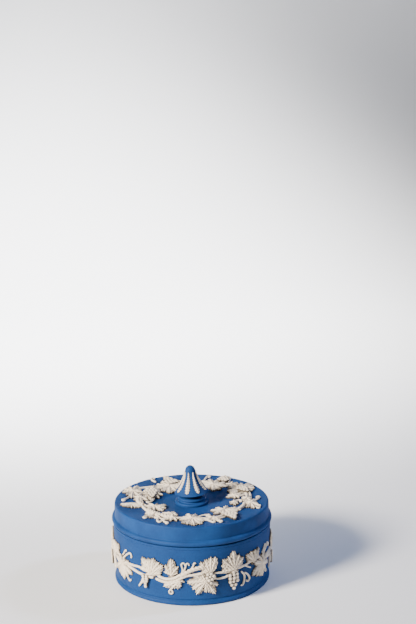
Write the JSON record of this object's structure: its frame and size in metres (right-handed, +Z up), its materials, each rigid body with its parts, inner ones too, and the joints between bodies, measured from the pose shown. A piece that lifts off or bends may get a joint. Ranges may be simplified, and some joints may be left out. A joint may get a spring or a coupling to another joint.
{
  "type": "trinket box",
  "caption": "Round lidded stoneware trinket box with a cone knob and a white sprigged vine wreath; the lid lifts off.",
  "frame": {"origin": "centre of the foot ring, on the surface the box stands on", "axes": "+Z up through the knob, front towards -Y"},
  "size_m": [0.1014, 0.1008, 0.0725],
  "materials": {
    "blue_stoneware": "unglazed, fine-grained, matt blue body",
    "white_stoneware": "unglazed cream-white applied relief, matt"
  },
  "bodies": {
    "box": {"box_body": "blue_stoneware", "side_stem_1": "white_stoneware", "side_leaf_1_1": "white_stoneware", "side_leaf_1_2": "white_stoneware", "side_leaf_1_3": "white_stoneware", "side_leaf_1_4": "white_stoneware", "side_leaf_1_5": "white_stoneware", "side_leaf_1_6": "white_stoneware", "side_leaf_1_7": "white_stoneware", "side_leaf_1_8": "white_stoneware", "side_grapes_1_1": "white_stoneware", "side_grapes_1_2": "white_stoneware", "side_grapes_1_3": "white_stoneware", "side_stem_2": "white_stoneware", "side_leaf_2_1": "white_stoneware", "side_leaf_2_2": "white_stoneware", "side_leaf_2_3": "white_stoneware", "side_leaf_2_4": "white_stoneware", "side_leaf_2_5": "white_stoneware", "side_leaf_2_6": "white_stoneware", "side_leaf_2_7": "white_stoneware", "side_leaf_2_8": "white_stoneware", "side_grapes_2_1": "white_stoneware", "side_grapes_2_2": "white_stoneware", "side_grapes_2_3": "white_stoneware", "side_stem_3": "white_stoneware", "side_leaf_3_1": "white_stoneware", "side_leaf_3_2": "white_stoneware", "side_leaf_3_3": "white_stoneware", "side_leaf_3_4": "white_stoneware", "side_leaf_3_5": "white_stoneware", "side_leaf_3_6": "white_stoneware", "side_leaf_3_7": "white_stoneware", "side_leaf_3_8": "white_stoneware", "side_grapes_3_1": "white_stoneware", "side_grapes_3_2": "white_stoneware", "side_grapes_3_3": "white_stoneware"},
    "lid": {"lid": "blue_stoneware", "knob_rings": "blue_stoneware", "knob_cone": "blue_stoneware", "knob_husks": "white_stoneware", "lid_stem_1": "white_stoneware", "lid_stem_2": "white_stoneware", "lid_stem_3": "white_stoneware", "lid_leaf_1": "white_stoneware", "lid_leaf_2": "white_stoneware", "lid_leaf_3": "white_stoneware", "lid_leaf_4": "white_stoneware", "lid_leaf_5": "white_stoneware", "lid_leaf_6": "white_stoneware", "lid_leaf_7": "white_stoneware", "lid_leaf_8": "white_stoneware", "lid_leaf_9": "white_stoneware", "lid_leaf_10": "white_stoneware", "lid_leaf_11": "white_stoneware", "lid_leaf_12": "white_stoneware", "lid_grapes_1": "white_stoneware", "lid_grapes_2": "white_stoneware", "lid_grapes_3": "white_stoneware"}
  },
  "joints": [
    {"name": "lid_lift", "type": "slide", "parent": "box", "child": "lid", "axis": [0, 0, 1], "range_m": [0, 0.07]}
  ]
}
